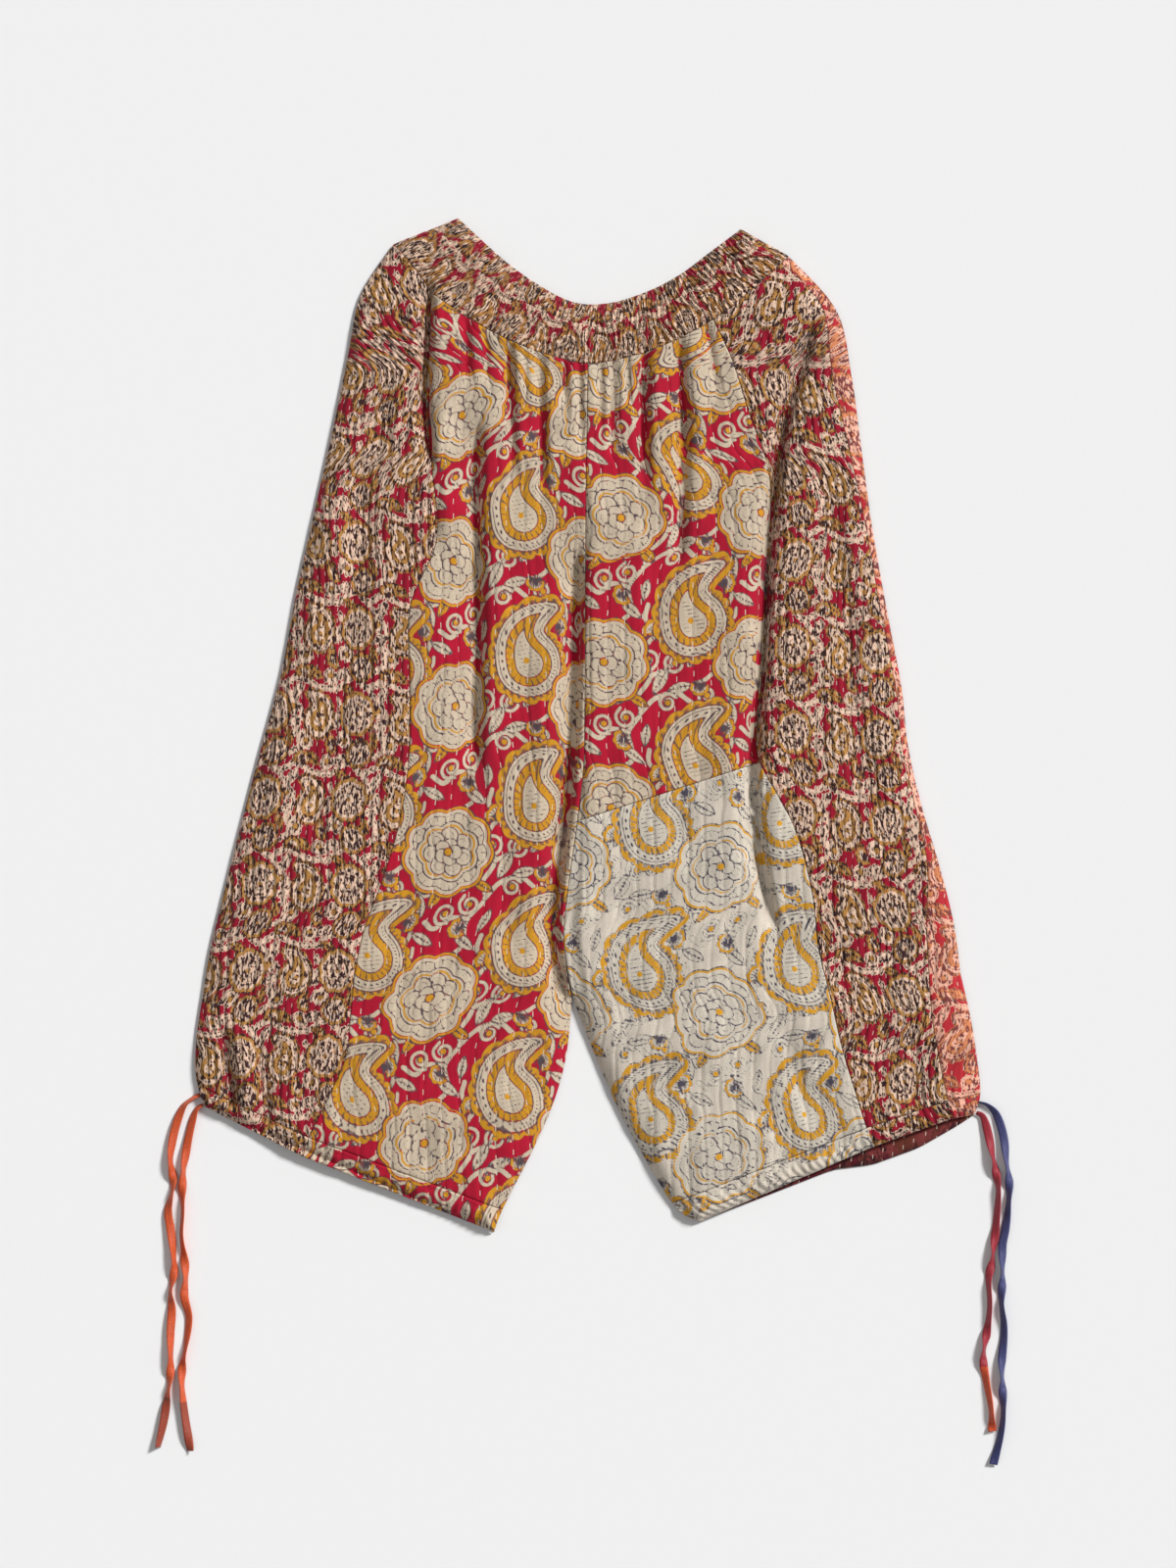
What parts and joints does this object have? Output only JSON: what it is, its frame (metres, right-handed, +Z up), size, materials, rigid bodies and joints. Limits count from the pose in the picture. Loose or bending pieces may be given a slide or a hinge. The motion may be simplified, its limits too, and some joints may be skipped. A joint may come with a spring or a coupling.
{
  "type": "capri joggers",
  "caption": "Full-cut calf-length trousers laid flat, with a shirred waistband, printed patchwork panels and drawstring hems.",
  "frame": {"origin": "on the floor under the middle of the garment's box, cords left out", "axes": "+Z up from the floor, +Y towards the waist, +X to the right of the front view"},
  "size_m": [0.6981, 1.0165, 0.0122],
  "materials": {
    "band": "printed cotton gathered on rows of thin elastic",
    "main_print": "printed cotton with a running hand stitch, matt",
    "cream_print": "the same print on a cream ground, matt",
    "side_print": "dense small print on puckered cotton, matt",
    "back_cloth": "printed cotton with a salmon cast, matt",
    "orange_ribbon": "thin woven ribbon, slight sheen",
    "blue_ribbon": "thin woven ribbon, slight sheen",
    "red_ribbon": "thin woven ribbon, slight sheen"
  },
  "bodies": {
    "root": {"waistband_front": "band", "waistband_back": "band", "front_left": "main_print", "front_right": "main_print", "front_right_cream": "cream_print", "side_left": "side_print", "side_right": "side_print", "side_strip_right": "back_cloth", "back_left": "back_cloth", "back_right": "back_cloth", "hem_left_front": "main_print", "hem_left_back": "back_cloth", "hem_right_front": "cream_print", "hem_right_back": "back_cloth", "cord_left_a": "orange_ribbon", "cord_left_b": "orange_ribbon", "cord_right_blue": "blue_ribbon", "cord_right_red": "red_ribbon"}
  },
  "joints": []
}
